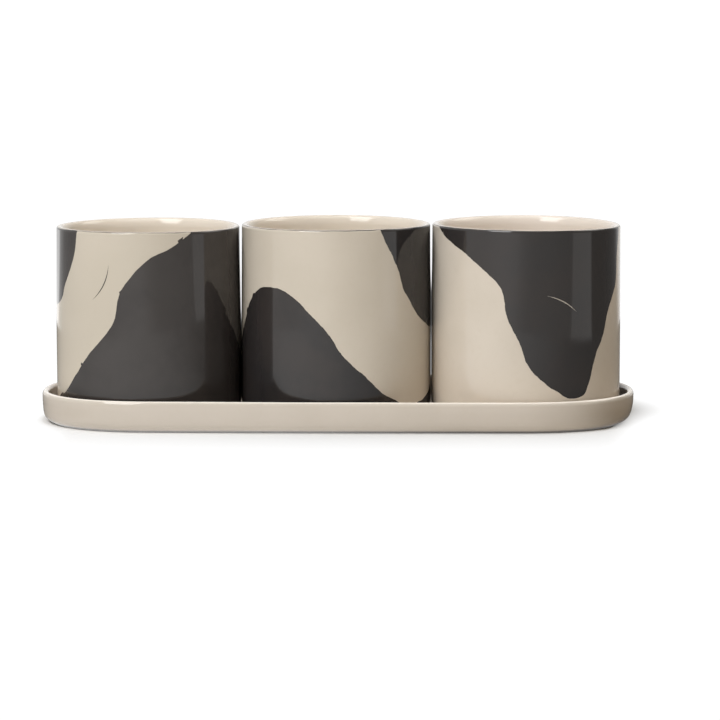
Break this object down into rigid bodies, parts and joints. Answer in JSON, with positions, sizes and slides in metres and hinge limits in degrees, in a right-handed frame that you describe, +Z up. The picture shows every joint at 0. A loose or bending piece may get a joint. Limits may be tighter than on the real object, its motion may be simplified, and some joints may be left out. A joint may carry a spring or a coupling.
{
  "type": "plant pot set",
  "caption": "Row of glazed ceramic cylinder plant pots with drain holes, each lifting straight up off a shared long oval drip tray.",
  "frame": {"origin": "centre of the tray's footprint, on the surface that it stands on", "axes": "+X to the right along the row, +Y away from the front, +Z up out of the pots' mouths"},
  "size_m": [0.3748, 0.1352, 0.1249],
  "materials": {
    "pot_glaze": "glossy two-tone glaze, cream and charcoal brown outside, cream inside, bare clay under the foot",
    "tray_glaze": "glossy cream glaze, bare clay under the foot ring"
  },
  "bodies": {
    "tray": {"tray": "tray_glaze"},
    "pot_left": {"pot_left": "pot_glaze"},
    "pot_middle": {"pot_middle": "pot_glaze"},
    "pot_right": {"pot_right": "pot_glaze"}
  },
  "joints": [
    {"name": "pot_left_lift", "type": "slide", "parent": "tray", "child": "pot_left", "axis": [0, 0, 1], "range_m": [0, 0.13]},
    {"name": "pot_middle_lift", "type": "slide", "parent": "tray", "child": "pot_middle", "axis": [0, 0, 1], "range_m": [0, 0.13]},
    {"name": "pot_right_lift", "type": "slide", "parent": "tray", "child": "pot_right", "axis": [0, 0, 1], "range_m": [0, 0.13]}
  ]
}
